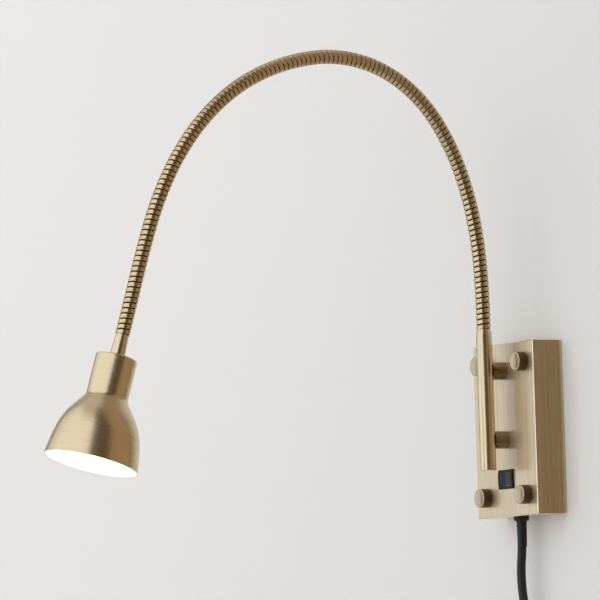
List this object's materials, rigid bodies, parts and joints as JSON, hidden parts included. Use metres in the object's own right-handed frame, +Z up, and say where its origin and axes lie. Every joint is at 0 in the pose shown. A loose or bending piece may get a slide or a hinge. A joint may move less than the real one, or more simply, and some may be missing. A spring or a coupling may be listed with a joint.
{
  "type": "bedside wall reading lamp",
  "caption": "Wall reading lamp: box plate with corner knobs, rocker switch, stem on standoffs, ribbed gooseneck arching to a bell shade, and a mains cord.",
  "frame": {"origin": "centre of the wall box's back edge, on the wall", "axes": "+X right for someone facing the wall, +Y into the wall, +Z up; the shade hangs out towards -Y"},
  "size_m": [0.108, 0.4226, 0.6414],
  "materials": {
    "antique_brass": "antique brass, finely brushed and lacquered",
    "shade_brass": "brushed antique brass outside, white lacquer inside",
    "turned_brass": "darkened brass, turned face, knurled side",
    "dark_brass": "darkened brass, polished",
    "neck_brass": "antique brass ribbed tube, lacquered",
    "zinc_steel": "bright zinc plate",
    "brass": "bare",
    "pin_nickel": "nickel plated brass",
    "bulb_cap_metal": "rolled thread",
    "bulb_glass": "frosted, lit warm white",
    "black_thermoset": "moulded",
    "black_plastic": "moulded, fine grain",
    "black_plastic_gloss": "smooth moulded",
    "black_plastic_plug": "moulded",
    "white_plastic": "moulded",
    "wire_insulation": "insulated cores, blue, brown and green-yellow",
    "flex_sheath": "round silicone flex",
    "black_pvc": "satin sheath",
    "tie_strap": "hook and loop strap"
  },
  "bodies": {
    "wall_unit": {"plate_cover": "antique_brass", "mounting_bracket": "zinc_steel", "bracket_studs": "zinc_steel", "knurled_nuts": "turned_brass", "stem_tube": "antique_brass", "stem_end_cap": "antique_brass", "standoffs": "dark_brass", "standoff_pipes": "zinc_steel", "pipe_nuts": "zinc_steel", "neck_ferrule_lower": "antique_brass", "neck_segment_01": "neck_brass", "neck_flex_01": "flex_sheath", "stem_flex": "flex_sheath", "switch_housing": "black_plastic", "switch_terminals": "brass", "terminal_block": "white_plastic", "terminal_screws": "zinc_steel", "earth_terminal": "brass", "box_wires": "wire_insulation", "cord_gland": "black_plastic", "cord_free": "black_pvc", "cord_coil": "black_pvc", "cord_tie": "tie_strap", "plug_body": "black_plastic_plug", "plug_contacts": "pin_nickel"},
    "neck_link_02": {"neck_segment_02": "neck_brass", "neck_flex_02": "flex_sheath"},
    "neck_link_03": {"neck_segment_03": "neck_brass", "neck_flex_03": "flex_sheath"},
    "neck_link_04": {"neck_segment_04": "neck_brass", "neck_flex_04": "flex_sheath"},
    "neck_link_05": {"neck_segment_05": "neck_brass", "neck_flex_05": "flex_sheath"},
    "neck_link_06": {"neck_segment_06": "neck_brass", "neck_flex_06": "flex_sheath"},
    "neck_link_07": {"neck_segment_07": "neck_brass", "neck_flex_07": "flex_sheath"},
    "neck_link_08": {"neck_segment_08": "neck_brass", "neck_flex_08": "flex_sheath"},
    "neck_link_09": {"neck_segment_09": "neck_brass", "neck_flex_09": "flex_sheath"},
    "neck_link_10": {"neck_segment_10": "neck_brass", "neck_flex_10": "flex_sheath"},
    "neck_link_11": {"neck_segment_11": "neck_brass", "neck_flex_11": "flex_sheath"},
    "neck_link_12": {"neck_segment_12": "neck_brass", "neck_flex_12": "flex_sheath"},
    "neck_link_13": {"neck_segment_13": "neck_brass", "neck_flex_13": "flex_sheath"},
    "head": {"neck_segment_14": "neck_brass", "neck_flex_14": "flex_sheath", "neck_ferrule_upper": "antique_brass", "head_pipe": "zinc_steel", "shade": "shade_brass", "lampholder_body": "black_thermoset", "lampholder_contacts": "brass", "bulb_base": "bulb_cap_metal", "bulb_glass": "bulb_glass", "head_flex": "flex_sheath"},
    "rocker": {"switch_rocker": "black_plastic_gloss"}
  },
  "joints": [
    {"name": "neck_hinge_01", "type": "hinge", "parent": "wall_unit", "child": "neck_link_02", "pos_m": [0, -0.04333, 0.12386], "axis": [1, 0, 0], "range_deg": [-18, 5]},
    {"name": "neck_hinge_02", "type": "hinge", "parent": "neck_link_02", "child": "neck_link_03", "pos_m": [0, -0.04839, 0.16476], "axis": [0, 0.9816, 0.1908], "range_deg": [-15, 15]},
    {"name": "neck_hinge_03", "type": "hinge", "parent": "neck_link_03", "child": "neck_link_04", "pos_m": [0, -0.05992, 0.20431], "axis": [1, 0, 0], "range_deg": [-18, 5]},
    {"name": "neck_hinge_04", "type": "hinge", "parent": "neck_link_04", "child": "neck_link_05", "pos_m": [0, -0.07949, 0.24051], "axis": [0, 0.8161, 0.5779], "range_deg": [-15, 15]},
    {"name": "neck_hinge_05", "type": "hinge", "parent": "neck_link_05", "child": "neck_link_06", "pos_m": [0, -0.10885, 0.26916], "axis": [1, 0, 0], "range_deg": [-18, 5]},
    {"name": "neck_hinge_06", "type": "hinge", "parent": "neck_link_06", "child": "neck_link_07", "pos_m": [0, -0.14662, 0.28511], "axis": [0, 0.2062, 0.9785], "range_deg": [-15, 15]},
    {"name": "neck_hinge_07", "type": "hinge", "parent": "neck_link_07", "child": "neck_link_08", "pos_m": [0, -0.18763, 0.28633], "axis": [1, 0, 0], "range_deg": [-18, 5]},
    {"name": "neck_hinge_08", "type": "hinge", "parent": "neck_link_08", "child": "neck_link_09", "pos_m": [0, -0.22735, 0.27554], "axis": [0, -0.373, 0.9278], "range_deg": [-15, 15]},
    {"name": "neck_hinge_09", "type": "hinge", "parent": "neck_link_09", "child": "neck_link_10", "pos_m": [0, -0.26314, 0.25529], "axis": [1, 0, 0], "range_deg": [-18, 12]},
    {"name": "neck_hinge_10", "type": "hinge", "parent": "neck_link_10", "child": "neck_link_11", "pos_m": [0, -0.29282, 0.22678], "axis": [0, -0.7727, 0.6347], "range_deg": [-15, 15]},
    {"name": "neck_hinge_11", "type": "hinge", "parent": "neck_link_11", "child": "neck_link_12", "pos_m": [0, -0.3157, 0.19253], "axis": [1, 0, 0], "range_deg": [-18, 12]},
    {"name": "neck_hinge_12", "type": "hinge", "parent": "neck_link_12", "child": "neck_link_13", "pos_m": [0, -0.3323, 0.15481], "axis": [0, -0.9432, 0.3322], "range_deg": [-15, 15]},
    {"name": "neck_hinge_13", "type": "hinge", "parent": "neck_link_13", "child": "head", "pos_m": [0, -0.34508, 0.1156], "axis": [1, 0, 0], "range_deg": [-18, 12]},
    {"name": "switch_rock", "type": "hinge", "parent": "wall_unit", "child": "rocker", "pos_m": [0, -0.0245, -0.0383], "axis": [0, 0, 1], "range_deg": [-18, 0]}
  ],
  "couplings": [
    {"joint": "neck_hinge_03", "follows": "neck_hinge_01", "ratio": 1},
    {"joint": "neck_hinge_04", "follows": "neck_hinge_02", "ratio": 1},
    {"joint": "neck_hinge_05", "follows": "neck_hinge_01", "ratio": 1},
    {"joint": "neck_hinge_06", "follows": "neck_hinge_02", "ratio": 1},
    {"joint": "neck_hinge_07", "follows": "neck_hinge_01", "ratio": 1},
    {"joint": "neck_hinge_10", "follows": "neck_hinge_08", "ratio": 1},
    {"joint": "neck_hinge_11", "follows": "neck_hinge_09", "ratio": 1},
    {"joint": "neck_hinge_12", "follows": "neck_hinge_08", "ratio": 1},
    {"joint": "neck_hinge_13", "follows": "neck_hinge_09", "ratio": 1}
  ]
}
